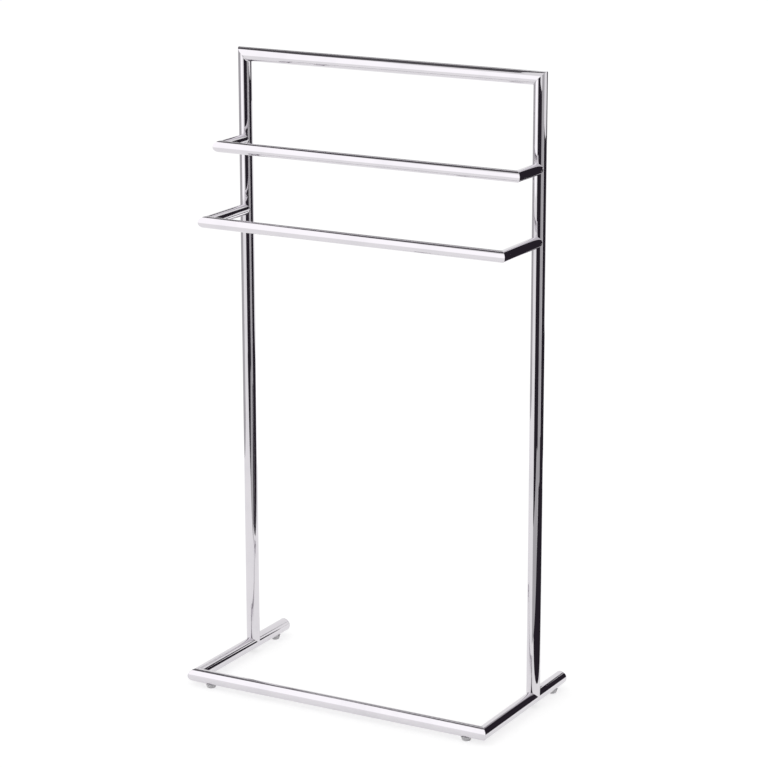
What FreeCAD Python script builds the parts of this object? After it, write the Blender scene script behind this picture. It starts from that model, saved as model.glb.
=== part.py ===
import FreeCAD, Part

# Freestanding towel stand of round chromed tube, in millimetres.
# Two posts carry a top bar and two rails that reach forward on arms. The posts stand in saddles on the
# runners of a U-shaped base, whose front bar closes it ahead of the rails. Four cone-shaped feet carry it.
#
# Frame: X to the right, Y to the back, Z up. The origin is on the floor, below the middle of the outline.
# All corners are 45 degree mitres that meet face to face. All T joints are saddles cut by the mating tube.

import os

import Sketcher

# Driving dimensions. A drop is measured down from the top bar's axis, a reach from the plane of the posts.
SIZES = {
    # places of the tube axes
    "frame_width": 450.0,  # from post axis to post axis, and so from runner to runner
    "top_bar_height": 868.0,  # above the floor
    "upper_rail_drop": 118.0,
    "lower_rail_drop": 215.5,
    "upper_rail_reach": 66.0,
    "lower_rail_reach": 106.5,
    "base_front_reach": 151.0,
    "base_back_reach": 87.0,  # to the outer face of the end caps
    # tubes
    "post_tube_diameter": 19.0,
    "post_tube_wall": 1.2,
    "rail_tube_diameter": 16.0,
    "rail_tube_wall": 1.0,
    "base_tube_diameter": 19.0,
    "base_tube_wall": 1.2,
    "cope_tip_trim": 1.0,  # feather edge ground off the tips of the posts' saddles
    "vent_hole_diameter": 5.0,  # lets the plating bath drain from the arms into the posts
    # caps that close the runners at the back
    "cap_head_thickness": 2.0,
    "cap_edge_radius": 0.8,
    "cap_stem_length": 10.0,
    "cap_stem_wall": 1.2,
    "press_clearance": 0.05,  # radial, for the caps' stems and the posts' plugs
    # feet
    "foot_height": 4.5,  # from the floor to the lowest line of the base tubes
    "foot_top_diameter": 15.0,
    "foot_bottom_diameter": 11.0,
    "foot_edge_radius": 1.2,
    "foot_saddle_rise": 1.5,  # how far the rim of the foot comes up beside the tube
    "front_foot_inset": 24.0,  # from the runner's axis inward along the front bar
    "rear_foot_inset": 26.5,  # from the outer face of the end cap forward
    # screws that hold the feet
    "foot_screw_diameter": 2.9,
    "foot_screw_length": 8.0,
    "foot_screw_head_diameter": 5.6,
    "foot_screw_head_height": 2.2,
    "foot_screw_head_radius": 0.8,
    "foot_screw_sink": 0.6,  # from the floor up to the screw's head
    "foot_screw_head_clearance": 0.3,
    "foot_screw_clearance": 0.1,
    "cross_drive_length": 3.4,
    "cross_drive_width": 0.9,
    "cross_drive_depth": 1.2,
    # screws that draw the posts down onto the runners
    "base_screw_diameter": 6.0,
    "base_screw_length": 20.0,
    "base_screw_head_diameter": 10.0,
    "base_screw_head_height": 6.0,
    "base_screw_head_radius": 0.6,
    "base_screw_clearance": 0.3,
    "hex_drive_across_flats": 5.0,
    "hex_drive_depth": 3.0,
    "thread_clearance": 0.03,
    "plug_length": 20.0,  # above the top of the runner
    "saddle_washer_diameter": 11.0,
    "saddle_washer_edge": 1.2,  # thickness at the rim across the runner
    "access_hole_clearance": 0.5,
}

# Sizes worked out from the driving dimensions, as the expressions that the objects are bound to.
POST_RADIUS = "(Sizes.post_tube_diameter / 2)"
POST_BORE = f"({POST_RADIUS} - Sizes.post_tube_wall)"
RAIL_RADIUS = "(Sizes.rail_tube_diameter / 2)"
RAIL_BORE = f"({RAIL_RADIUS} - Sizes.rail_tube_wall)"
BASE_RADIUS = "(Sizes.base_tube_diameter / 2)"
BASE_BORE = f"({BASE_RADIUS} - Sizes.base_tube_wall)"
HALF_WIDTH = "(Sizes.frame_width / 2)"
BASE_AXIS = f"(Sizes.foot_height + {BASE_RADIUS})"
POST_PLANE = f"((Sizes.base_front_reach + {BASE_RADIUS} - Sizes.base_back_reach) / 2)"
FRONT_BAR_PLANE = f"({POST_PLANE} - Sizes.base_front_reach)"
BACK_PLANE = f"({POST_PLANE} + Sizes.base_back_reach)"
CAP_SEAT = f"({BACK_PLANE} - Sizes.cap_head_thickness)"
FOOT_SCREW_SEAT = "(Sizes.foot_screw_sink + Sizes.foot_screw_head_height)"
FOOT_SCREW_RADIUS = "(Sizes.foot_screw_diameter / 2)"
FOOT_SCREW_HEAD = "(Sizes.foot_screw_head_diameter / 2)"
BASE_SCREW_RADIUS = "(Sizes.base_screw_diameter / 2)"
WASHER_RADIUS = "(Sizes.saddle_washer_diameter / 2)"
# the washer's flat face, above the runner's axis
WASHER_SEAT = f"(sqrt({BASE_BORE} ^ 2 - {WASHER_RADIUS} ^ 2) - Sizes.saddle_washer_edge)"

ZERO = "0"
SIDES = (("left", -1), ("right", 1))
RAILS = ("upper", "lower")
MITRE_REACH = 1.5  # a mitre's cut reaches this many tube radii from the corner of the axes
SAME = 1e-6  # two lengths this close are the same

ACROSS = "YZ_Plane"  # a section of what runs from left to right
ALONG = "XZ_Plane"  # a section of what runs from front to back, and the plane of the posts
LEVEL = "XY_Plane"  # a section of what stands upright, and the plane of the rails and the base

START, END, CENTRE = range(1, 4)  # how a sketch numbers the points of a line or a circle

DOC = FreeCAD.newDocument("towel_stand")
SHEET = DOC.addObject("Spreadsheet::Sheet", "Sizes")


def fill_sheet():
    """Write each driving dimension to a row of the sheet, its name beside it."""
    for row, (name, value) in enumerate(SIZES.items(), start=1):
        SHEET.set(f"A{row}", name)
        SHEET.set(f"B{row}", str(value))
        SHEET.setAlias(f"B{row}", name)
    DOC.recompute()


# Bodies and sketches


def origin_feature(body, role):
    """Find a plane or an axis of the body's own origin."""
    return next(item for item in body.Origin.OriginFeatures if item.Role == role)


def add_body(label, x=ZERO, y=ZERO, z=ZERO):
    """Add an empty body for one piece, its own origin at the given place."""
    body = DOC.addObject("PartDesign::Body", label)
    body.Label = label
    for axis, place in (("x", x), ("y", y), ("z", z)):
        body.setExpression(f"Placement.Base.{axis}", place)
    return body


def add_sketch(body, name, role, offset=None):
    """Add a sketch on one of the body's own planes, or at a distance along its normal."""
    sketch = body.newObject("Sketcher::SketchObject", name)
    sketch.AttachmentSupport = [(origin_feature(body, role), "")]
    sketch.MapMode = "FlatFace"
    if offset is not None:
        sketch.setExpression("AttachmentOffset.Base.z", offset)
    return sketch


def drive(sketch, kind, expression, *where):
    """Add a dimension to a sketch and bind it to an expression."""
    value = sketch.evalExpression(expression)
    index = sketch.addConstraint(Sketcher.Constraint(kind, *where, value))
    sketch.setExpression(f"Constraints[{index}]", expression)


def pin_point(sketch, geometry, end, x, y):
    """Hold a point of a sketch at x and y from the sketch's origin, whose axes are its items -1 and -2."""
    for expression, kind, axis in ((x, "DistanceX", -2), (y, "DistanceY", -1)):
        if expression == ZERO:
            sketch.addConstraint(Sketcher.Constraint("PointOnObject", geometry, end, axis))
        else:
            drive(sketch, kind, expression, -1, START, geometry, end)


def draw_circle(sketch, radius, x=ZERO, y=ZERO):
    """Draw a circle of a bound radius about a bound centre."""
    centre = FreeCAD.Vector(sketch.evalExpression(x), sketch.evalExpression(y), 0)
    circle = Part.Circle(centre, FreeCAD.Vector(0, 0, 1), sketch.evalExpression(radius))
    index = sketch.addGeometry(circle)
    drive(sketch, "Radius", radius, index)
    pin_point(sketch, index, CENTRE, x, y)


def draw_polygon(sketch, corners):
    """Draw a closed outline of straight sides whose corners are bound one by one."""
    points = [FreeCAD.Vector(sketch.evalExpression(x), sketch.evalExpression(y), 0) for x, y in corners]
    count = len(points)
    for number in range(count):
        sketch.addGeometry(Part.LineSegment(points[number], points[(number + 1) % count]))
    for number in range(count):
        sketch.addConstraint(Sketcher.Constraint("Coincident", number, END, (number + 1) % count, START))
    for number, (x, y) in enumerate(corners):
        pin_point(sketch, number, START, x, y)


def draw_rectangle(sketch, width, height):
    """Draw a rectangle about the sketch's origin."""
    corners = ((1, 1), (-1, 1), (-1, -1), (1, -1))
    draw_polygon(sketch, [(f"{x} * {width} / 2", f"{y} * {height} / 2") for x, y in corners])


def draw_hexagon(sketch, across_flats):
    """Draw a regular hexagon about the sketch's origin, two of its corners on the X axis."""
    corner = f"({across_flats} / sqrt(3))"
    flat = f"({across_flats} / 2)"
    right = [(f"{corner} / 2", f"-{flat}"), (corner, ZERO), (f"{corner} / 2", flat)]
    left = [(f"-{corner} / 2", flat), (f"-{corner}", ZERO), (f"-{corner} / 2", f"-{flat}")]
    draw_polygon(sketch, right + left)


# Features


def pad(body, sketch, length, backward=None, symmetric=False, reverse=False):
    """Give a sketch its length, one way, both ways by two lengths, or evenly about its plane."""
    feature = body.newObject("PartDesign::Pad", "Pad")
    feature.Profile = sketch
    feature.Reversed = reverse
    feature.setExpression("Length", length)
    if backward is not None:
        feature.SideType = "Two sides"
        feature.setExpression("Length2", backward)
    elif symmetric:
        feature.SideType = "Symmetric"
    return feature


def cut_through(body, sketch, both_ways=True, reverse=False):
    """Cut a sketch through all of the body, or only on one side of the sketch's plane."""
    feature = body.newObject("PartDesign::Pocket", "Cut")
    feature.Profile = sketch
    feature.Type = "ThroughAll"
    feature.Reversed = reverse
    if both_ways:
        feature.SideType = "Symmetric"
    return feature


def cut_deep(body, sketch, depth, reverse=False):
    """Cut a sketch into the body to a bound depth."""
    feature = body.newObject("PartDesign::Pocket", "Recess")
    feature.Profile = sketch
    feature.Reversed = reverse
    feature.setExpression("Length", depth)
    return feature


def pad_disc(body, role, radius, length, offset=None, reverse=False):
    """Add a solid round length about the body's origin."""
    sketch = add_sketch(body, "Disc", role, offset)
    draw_circle(sketch, radius)
    return pad(body, sketch, length, reverse=reverse)


def pad_ring(body, role, radius, bore, length, offset=None, **way):
    """Add a length of tube about the body's origin."""
    sketch = add_sketch(body, "Ring", role, offset)
    draw_circle(sketch, radius)
    draw_circle(sketch, bore)
    return pad(body, sketch, length, **way)


def cut_mitre(body, role, corner_x, corner_y, toward_x, toward_y, radius):
    """Cut a tube at 45 degrees through the corner of the axes, and take away the given quarter."""
    reach = f"({MITRE_REACH} * {radius})"
    near_x = f"{corner_x} - {toward_x} * {reach}"
    near_y = f"{corner_y} - {toward_y} * {reach}"
    far_x = f"{corner_x} + {toward_x} * {reach}"
    far_y = f"{corner_y} + {toward_y} * {reach}"
    sketch = add_sketch(body, "Mitre", role)
    draw_polygon(sketch, [(far_x, far_y), (near_x, far_y), (far_x, near_y)])
    cut_through(body, sketch)


def cut_round(body, role, radius, x=ZERO, y=ZERO, both_ways=True, reverse=False):
    """Cut a round hole or the saddle for a mating tube that crosses the plane of the sketch."""
    sketch = add_sketch(body, "Round", role)
    draw_circle(sketch, radius, x, y)
    return cut_through(body, sketch, both_ways, reverse)


def circle_edges(shape, radius, axis, level):
    """Name the round edges of a radius that lie at a level along one axis."""
    names = []
    for number, edge in enumerate(shape.Edges, start=1):
        curve = edge.Curve
        if isinstance(curve, Part.Circle) and abs(curve.Radius - radius) < SAME:
            if abs(getattr(curve.Center, axis) - level) < SAME:
                names.append(f"Edge{number}")
    return names


def round_rim(body, rim_radius, axis, level, edge_radius):
    """Round the round rim of a body's last feature."""
    DOC.recompute()
    base = body.Tip
    edges = circle_edges(base.Shape, SHEET.evalExpression(rim_radius), axis, SHEET.evalExpression(level))
    feature = body.newObject("PartDesign::Fillet", "Rounding")
    feature.Base = (base, edges)
    feature.setExpression("Radius", edge_radius)


# The frame and its rails


def rail_height(rail):
    """Give a rail's axis above the floor."""
    return f"(Sizes.top_bar_height - Sizes.{rail}_rail_drop)"


def build_post(side, sign):
    """A post: saddle on the runner below, mitre to the top bar above, vents behind the arms."""
    body = add_body(f"post_{side}", f"{sign} * {HALF_WIDTH}", POST_PLANE, BASE_AXIS)
    top = f"(Sizes.top_bar_height - {BASE_AXIS})"
    length = f"{top} + {POST_RADIUS} - Sizes.cope_tip_trim"
    pad_ring(body, LEVEL, POST_RADIUS, POST_BORE, length, offset="Sizes.cope_tip_trim")
    cut_mitre(body, ALONG, ZERO, top, -sign, 1, POST_RADIUS)
    cut_round(body, ALONG, BASE_RADIUS)
    for rail in RAILS:
        height = f"({rail_height(rail)} - {BASE_AXIS})"
        vent = "(Sizes.vent_hole_diameter / 2)"
        cut_round(body, ALONG, vent, y=height, both_ways=False, reverse=True)
    return body


def build_top_bar():
    """The top bar, mitred down into both posts."""
    body = add_body("top_bar", y=POST_PLANE, z="Sizes.top_bar_height")
    length = f"2 * ({HALF_WIDTH} + {POST_RADIUS})"
    pad_ring(body, ACROSS, POST_RADIUS, POST_BORE, length, symmetric=True)
    for _, sign in SIDES:
        cut_mitre(body, ALONG, f"{sign} * {HALF_WIDTH}", ZERO, sign, -1, POST_RADIUS)
    return body


def build_front_tube(label, y, z, radius, bore):
    """A tube from left to right whose ends are mitred back into two tubes that run to the rear."""
    body = add_body(label, y=y, z=z)
    pad_ring(body, ACROSS, radius, bore, f"2 * ({HALF_WIDTH} + {radius})", symmetric=True)
    for _, sign in SIDES:
        cut_mitre(body, LEVEL, f"{sign} * {HALF_WIDTH}", ZERO, sign, 1, radius)
    return body


def build_rail_bar(rail):
    """The bar of a rail."""
    y = f"({POST_PLANE} - Sizes.{rail}_rail_reach)"
    return build_front_tube(f"{rail}_rail_bar", y, rail_height(rail), RAIL_RADIUS, RAIL_BORE)


def build_rail_arm(rail, side, sign):
    """An arm of a rail: mitre to the bar in front, saddle on the post behind."""
    body = add_body(f"{rail}_rail_arm_{side}", f"{sign} * {HALF_WIDTH}", POST_PLANE, rail_height(rail))
    reach = f"Sizes.{rail}_rail_reach"
    pad_ring(body, ALONG, RAIL_RADIUS, RAIL_BORE, f"{reach} + {RAIL_RADIUS}")
    cut_mitre(body, LEVEL, ZERO, f"-{reach}", -sign, -1, RAIL_RADIUS)
    cut_round(body, LEVEL, POST_RADIUS)
    return body


# The base


def build_base_front_bar():
    """The front bar of the base, with the tapped holes of its two feet."""
    body = build_front_tube("base_front_bar", FRONT_BAR_PLANE, BASE_AXIS, BASE_RADIUS, BASE_BORE)
    for _, sign in SIDES:
        hole = f"({FOOT_SCREW_RADIUS} + Sizes.thread_clearance)"
        place = f"{sign} * ({HALF_WIDTH} - Sizes.front_foot_inset)"
        cut_round(body, LEVEL, hole, x=place, both_ways=False)
    return body


def build_runner(side, sign):
    """A runner: mitre to the front bar, screw holes below the post, the tapped hole of its foot."""
    body = add_body(f"base_runner_{side}", f"{sign} * {HALF_WIDTH}", POST_PLANE, BASE_AXIS)
    forward = f"Sizes.base_front_reach + {BASE_RADIUS}"
    backward = "Sizes.base_back_reach - Sizes.cap_head_thickness"
    pad_ring(body, ALONG, BASE_RADIUS, BASE_BORE, forward, backward=backward)
    cut_mitre(body, LEVEL, ZERO, "-Sizes.base_front_reach", -sign, -1, BASE_RADIUS)
    screw_hole = f"({BASE_SCREW_RADIUS} + Sizes.base_screw_clearance)"
    cut_round(body, LEVEL, screw_hole, both_ways=False, reverse=True)
    access_hole = f"({WASHER_RADIUS} + Sizes.access_hole_clearance)"
    cut_round(body, LEVEL, access_hole, both_ways=False)
    foot_hole = f"({FOOT_SCREW_RADIUS} + Sizes.thread_clearance)"
    foot_place = "Sizes.base_back_reach - Sizes.rear_foot_inset"
    cut_round(body, LEVEL, foot_hole, y=foot_place, both_ways=False)
    return body


def build_end_cap(side, sign):
    """A cap: a round head as wide as the runner, and a hollow stem pressed into it."""
    body = add_body(f"runner_end_cap_{side}", f"{sign} * {HALF_WIDTH}", CAP_SEAT, BASE_AXIS)
    stem = f"({BASE_BORE} - Sizes.press_clearance)"
    pad_disc(body, ALONG, BASE_RADIUS, "Sizes.cap_head_thickness", reverse=True)
    round_rim(body, BASE_RADIUS, "y", "Sizes.cap_head_thickness", "Sizes.cap_edge_radius")
    pad_ring(body, ALONG, stem, f"({stem} - Sizes.cap_stem_wall)", "Sizes.cap_stem_length")
    return body


# The joint between post and runner


def build_plug(side, sign):
    """A threaded plug in the post's lower end, coped with it onto the runner."""
    body = add_body(f"post_plug_{side}", f"{sign} * {HALF_WIDTH}", POST_PLANE, BASE_AXIS)
    radius = f"({POST_BORE} - Sizes.press_clearance)"
    pad_disc(body, LEVEL, radius, f"{BASE_RADIUS} + Sizes.plug_length - Sizes.cope_tip_trim",
             offset="Sizes.cope_tip_trim")
    cut_round(body, ALONG, BASE_RADIUS)
    cut_round(body, LEVEL, f"({BASE_SCREW_RADIUS} + Sizes.thread_clearance)")
    return body


def build_saddle_washer(side, sign):
    """A washer inside the runner: flat below for the screw's head, curved above to fit the bore."""
    body = add_body(f"saddle_washer_{side}", f"{sign} * {HALF_WIDTH}", POST_PLANE, BASE_AXIS)
    hole = f"({BASE_SCREW_RADIUS} + Sizes.base_screw_clearance)"
    pad_ring(body, LEVEL, WASHER_RADIUS, hole, f"{BASE_BORE} - {WASHER_SEAT}", offset=WASHER_SEAT)
    sketch = add_sketch(body, "Bore", ALONG)
    draw_circle(sketch, BASE_BORE)
    draw_circle(sketch, f"2 * {BASE_RADIUS}")
    cut_through(body, sketch)
    return body


def build_screw(label, place, shank, length, head, head_height, head_radius):
    """A screw that points up: its origin is where the shank leaves the head."""
    body = add_body(label, *place)
    pad_disc(body, LEVEL, head, head_height, reverse=True)
    round_rim(body, head, "z", f"-{head_height}", head_radius)
    pad_disc(body, LEVEL, shank, length)
    return body


def build_base_screw(side, sign):
    """A socket-head screw up through washer and runner into the post's plug."""
    place = (f"{sign} * {HALF_WIDTH}", POST_PLANE, f"{BASE_AXIS} + {WASHER_SEAT}")
    head = "(Sizes.base_screw_head_diameter / 2)"
    height = "Sizes.base_screw_head_height"
    body = build_screw(f"base_screw_{side}", place, BASE_SCREW_RADIUS, "Sizes.base_screw_length",
                       head, height, "Sizes.base_screw_head_radius")
    sketch = add_sketch(body, "HexDrive", LEVEL, f"-{height}")
    draw_hexagon(sketch, "Sizes.hex_drive_across_flats")
    cut_deep(body, sketch, "Sizes.hex_drive_depth", reverse=True)
    return body


# The feet


def foot_places():
    """Give each foot's name, the plane across its tube, and its place on the floor."""
    places = []
    for side, sign in SIDES:
        x = f"{sign} * ({HALF_WIDTH} - Sizes.front_foot_inset)"
        places.append((f"front_{side}", ACROSS, x, FRONT_BAR_PLANE))
    for side, sign in SIDES:
        y = f"({BACK_PLANE} - Sizes.rear_foot_inset)"
        places.append((f"rear_{side}", ALONG, f"{sign} * {HALF_WIDTH}", y))
    return places


def build_foot(name, tube_section, x, y):
    """A cone-shaped foot: saddle on the tube above, recess for the screw's head below."""
    body = add_body(f"foot_{name}", x, y)
    hole = f"({FOOT_SCREW_RADIUS} + Sizes.foot_screw_clearance)"
    recess = f"({FOOT_SCREW_HEAD} + Sizes.foot_screw_head_clearance)"
    top_radius = "(Sizes.foot_top_diameter / 2)"
    bottom_radius = "(Sizes.foot_bottom_diameter / 2)"
    top = "(Sizes.foot_height + Sizes.foot_saddle_rise)"
    profile = add_sketch(body, "Profile", ALONG)
    bore = [(hole, top), (hole, FOOT_SCREW_SEAT), (recess, FOOT_SCREW_SEAT), (recess, ZERO)]
    draw_polygon(profile, bore + [(bottom_radius, ZERO), (top_radius, top)])
    cone = body.newObject("PartDesign::Revolution", "Cone")
    cone.Profile = profile
    cone.ReferenceAxis = (profile, ["V_Axis"])
    cone.Angle = 360
    round_rim(body, bottom_radius, "z", ZERO, "Sizes.foot_edge_radius")
    cut_round(body, tube_section, BASE_RADIUS, y=BASE_AXIS)
    return body


def build_foot_screw(name, x, y):
    """A pan-head screw with a cross drive, up through the foot into the tube's wall."""
    height = "Sizes.foot_screw_head_height"
    body = build_screw(f"foot_screw_{name}", (x, y, FOOT_SCREW_SEAT), FOOT_SCREW_RADIUS,
                       "Sizes.foot_screw_length", FOOT_SCREW_HEAD, height, "Sizes.foot_screw_head_radius")
    sketch = add_sketch(body, "CrossDrive", LEVEL, f"-{height}")
    draw_rectangle(sketch, "Sizes.cross_drive_length", "Sizes.cross_drive_width")
    slot = cut_deep(body, sketch, "Sizes.cross_drive_depth", reverse=True)
    cross = body.newObject("PartDesign::PolarPattern", "Cross")
    cross.Originals = [slot]
    cross.Axis = (origin_feature(body, "Z_Axis"), [""])
    cross.Angle = 90
    cross.Occurrences = 2
    body.Tip = cross
    return body


# The whole stand


def build_stand():
    """Build every piece and give the bodies in order."""
    bodies = [build_top_bar(), build_base_front_bar()]
    for rail in RAILS:
        bodies.append(build_rail_bar(rail))
    for side, sign in SIDES:
        bodies.append(build_post(side, sign))
        for rail in RAILS:
            bodies.append(build_rail_arm(rail, side, sign))
        bodies.append(build_runner(side, sign))
        bodies.append(build_end_cap(side, sign))
        bodies.append(build_plug(side, sign))
        bodies.append(build_saddle_washer(side, sign))
        bodies.append(build_base_screw(side, sign))
    for name, tube_section, x, y in foot_places():
        bodies.append(build_foot(name, tube_section, x, y))
        bodies.append(build_foot_screw(name, x, y))
    return bodies


def check_stand(bodies):
    """Stop if an object failed, a solid is not sound or a cut took nothing away."""
    for item in DOC.Objects:
        if "Invalid" in item.State or "Error" in item.State:
            raise RuntimeError(f"{item.Label} failed: {item.State}")
    for body in bodies:
        shape = body.Shape
        if shape.isNull() or not shape.isValid() or len(shape.Solids) != 1:
            raise RuntimeError(f"{body.Label} is not one sound solid")
        for feature in body.Group:
            if feature.isDerivedFrom("PartDesign::Pocket"):
                if feature.BaseFeature.Shape.Volume - feature.Shape.Volume < SAME:
                    raise RuntimeError(f"{feature.Label} of {body.Label} cuts nothing")


def export_stand(bodies):
    """Write each piece to its own file."""
    os.makedirs("parts", exist_ok=True)
    for body in bodies:
        body.Shape.exportStep(f"parts/{body.Label}.step")
        box = body.Shape.BoundBox
        print(f"{body.Label:26} {body.Shape.Volume:10.1f} mm3  {box.XLength:6.1f} x {box.YLength:6.1f} x "
              f"{box.ZLength:6.1f}")


fill_sheet()
PIECES = build_stand()
DOC.recompute()
check_stand(PIECES)
export_stand(PIECES)
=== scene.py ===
import logging
import math
from contextlib import contextmanager
from dataclasses import dataclass, field
from enum import Enum
from typing import Callable, Iterator

import bmesh
import bpy
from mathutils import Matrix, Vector


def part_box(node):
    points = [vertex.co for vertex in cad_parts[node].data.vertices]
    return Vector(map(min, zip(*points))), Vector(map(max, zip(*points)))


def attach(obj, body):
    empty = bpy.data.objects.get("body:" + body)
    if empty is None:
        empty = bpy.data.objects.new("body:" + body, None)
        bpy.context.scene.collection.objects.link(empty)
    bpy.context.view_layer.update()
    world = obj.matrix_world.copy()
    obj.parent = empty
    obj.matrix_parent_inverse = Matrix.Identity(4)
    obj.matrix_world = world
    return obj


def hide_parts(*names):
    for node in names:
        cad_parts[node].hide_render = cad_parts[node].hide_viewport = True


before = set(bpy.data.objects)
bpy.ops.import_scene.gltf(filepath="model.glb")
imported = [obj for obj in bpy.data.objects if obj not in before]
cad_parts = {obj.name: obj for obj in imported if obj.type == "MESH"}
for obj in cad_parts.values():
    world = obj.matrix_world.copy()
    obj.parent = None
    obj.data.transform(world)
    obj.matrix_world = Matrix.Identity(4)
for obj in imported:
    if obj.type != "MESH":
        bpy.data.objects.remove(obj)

# Looks of a freestanding towel stand: chromed tube, clear rubber feet, zinc plated screws.
# Metres, in the frame of the CAD nodes: X to the right, Y to the back, Z up, the floor at Z = 0.

LOG = logging.getLogger("towel_stand")
BODY = "root"
ROUND = 128  # flat sides round a tube
FINE = 4 * ROUND  # flat sides round a mandrel
TOUCH = 2e-5  # places this close are the same
RIM_TOUCH = 1e-4  # a place this close to a rim's radius is on the rim
SHARP = math.radians(30)  # the faces at the rim of a cut turn more than this
SMOOTH = math.radians(22)  # the faces at an edge that looks sharp turn more than this
OVERHANG = 1.5  # radii by which a blank passes its mitred corner
MANDREL_LENGTH = 0.1
EDGE_STEPS = 6  # facets across a rounded edge

Colour = tuple[float, float, float]
Turn = tuple[float, float, float]
Socket = bpy.types.NodeSocket
ElementTest = Callable[[object], bool]
PlaceTest = Callable[[Vector], bool]
Bores = tuple[tuple[Vector, float], ...]  # holes through a tube's lower wall, each with its radius


class Axis(Enum):
    """The way a tube runs."""

    X = 0
    Y = 1
    Z = 2

    @property
    def vector(self) -> Vector:
        """The direction as a vector of length one."""
        return Vector([1.0 if number == self.value else 0.0 for number in range(3)])

    @property
    def turn(self) -> Turn:
        """The rotation that lays an upright cylinder along this direction."""
        quarter = math.pi / 2
        return {Axis.X: (0.0, quarter, 0.0), Axis.Y: (-quarter, 0.0, 0.0), Axis.Z: (0.0, 0.0, 0.0)}[self]


class Slot(Enum):
    """The material slots of the record."""

    CHROME = "chrome"
    RUBBER = "clear_rubber"


# The bench: operators on one selected piece


def select_only(piece: bpy.types.Object) -> None:
    """Make one piece the only selected and the active one.

    Args:
        piece: The piece.
    """
    bpy.ops.object.select_all(action="DESELECT")
    piece.select_set(True)
    bpy.context.view_layer.objects.active = piece


def settle(piece: bpy.types.Object) -> None:
    """Move a piece's place, turn and scale into its mesh."""
    select_only(piece)
    bpy.ops.object.transform_apply(location=True, rotation=True, scale=True)


@contextmanager
def edit_mode(piece: bpy.types.Object, kind: str = "VERT") -> Iterator[None]:
    """Open a piece in edit mode with nothing selected.

    Args:
        piece: The mesh to edit.
        kind: What is selected, VERT, EDGE or FACE.

    Yields:
        Nothing, once, while the piece is open.
    """
    select_only(piece)
    bpy.ops.object.mode_set(mode="EDIT")
    bpy.ops.mesh.select_mode(type=kind)
    bpy.ops.mesh.select_all(action="DESELECT")
    yield
    bpy.ops.object.mode_set(mode="OBJECT")


def pick(piece: bpy.types.Object, kind: str, test: ElementTest) -> None:
    """Select the vertices, edges or faces that pass a test, and nothing else.

    Args:
        piece: The mesh in edit mode.
        kind: One of verts, edges and faces.
        test: Says of an element whether it is wanted.
    """
    bpy.ops.mesh.select_all(action="DESELECT")
    mesh = bmesh.from_edit_mesh(piece.data)
    wanted = [element for element in getattr(mesh, kind) if test(element)]
    for element in wanted:
        element.select_set(True)
    bmesh.update_edit_mesh(piece.data)


def in_plane(point: Vector, normal: Vector) -> PlaceTest:
    """Give a test of whether a place lies in a plane."""
    return lambda place: abs((place - point).dot(normal)) < TOUCH


def on_cylinder(centre: Vector, axis: Axis, radius: float) -> PlaceTest:
    """Give a test of whether a place lies on the side of an endless cylinder.

    Args:
        centre: A point on the cylinder's axis.
        axis: The way the cylinder runs.
        radius: The cylinder's radius.

    Returns:
        The test.
    """
    way = axis.vector
    return lambda place: abs((place - centre - way * (place - centre).dot(way)).length - radius) < RIM_TOUCH


def whole(element: object, test: PlaceTest) -> bool:
    """Say whether all corners of an edge or a face pass a test of their places."""
    return all(test(vertex.co) for vertex in element.verts)


def add_modifier(piece: bpy.types.Object, kind: str, **settings: object) -> None:
    """Add a modifier to a piece and apply it at once.

    Args:
        piece: The piece.
        kind: The modifier's type.
        settings: The modifier's properties.
    """
    select_only(piece)
    modifier = piece.modifiers.new(kind.title(), kind)
    for name, value in settings.items():
        setattr(modifier, name, value)
    bpy.ops.object.modifier_apply(modifier=modifier.name)


def face_out(piece: bpy.types.Object) -> None:
    """Turn every face of a closed piece outwards.

    Args:
        piece: The piece.
    """
    with edit_mode(piece, "FACE"):
        bpy.ops.mesh.select_all(action="SELECT")
        bpy.ops.mesh.normals_make_consistent(inside=False)


def copy_piece(source: bpy.types.Object, name: str, move: Vector = Vector(), turn: float = 0.0,
               mirror: bool = False) -> bpy.types.Object:
    """Copy a piece with a mesh of its own.

    Args:
        source: The piece to copy.
        name: The copy's name.
        move: How far the copy is moved.
        turn: How far it is turned about the origin's Z axis first, in radians.
        mirror: Whether it is mirrored from right to left first.

    Returns:
        The copy, its place in its mesh.
    """
    select_only(source)
    bpy.ops.object.duplicate(linked=False)
    copy = bpy.context.active_object
    copy.name = name
    copy.data.name = name
    copy.rotation_euler = (0.0, 0.0, turn)
    copy.location = move
    if mirror:
        copy.scale = (-1.0, 1.0, 1.0)
    settle(copy)
    face_out(copy)
    return copy


def smooth(piece: bpy.types.Object) -> None:
    """Shade a piece smooth, apart from its sharp edges."""
    select_only(piece)
    bpy.ops.object.shade_smooth_by_angle(angle=SMOOTH)


def bevel_edges(piece: bpy.types.Object, test: ElementTest, width: float, steps: int) -> None:
    """Round the edges that pass a test.

    Args:
        piece: The piece.
        test: Says of an edge whether it is rounded.
        width: How far the rounding reaches along each face.
        steps: The facets across the rounding.
    """
    with edit_mode(piece, "EDGE"):
        pick(piece, "edges", test)
        bpy.ops.mesh.bevel(offset=width, offset_type="OFFSET", segments=steps, affect="EDGES")


def lay_ring(piece: bpy.types.Object, place: Vector, normal: Vector) -> None:
    """Lay a ring of edges round a piece where a plane cuts it.

    Args:
        piece: The piece.
        place: A point in the plane.
        normal: The plane's normal.
    """
    with edit_mode(piece):
        bpy.ops.mesh.select_all(action="SELECT")
        bpy.ops.mesh.bisect(plane_co=place, plane_no=normal)


def bridge_rims(piece: bpy.types.Object) -> None:
    """Join the two open rims of a piece with a wall.

    Args:
        piece: The piece.
    """
    with edit_mode(piece, "EDGE"):
        pick(piece, "edges", lambda edge: edge.is_boundary)
        bpy.ops.mesh.bridge_edge_loops()


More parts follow.
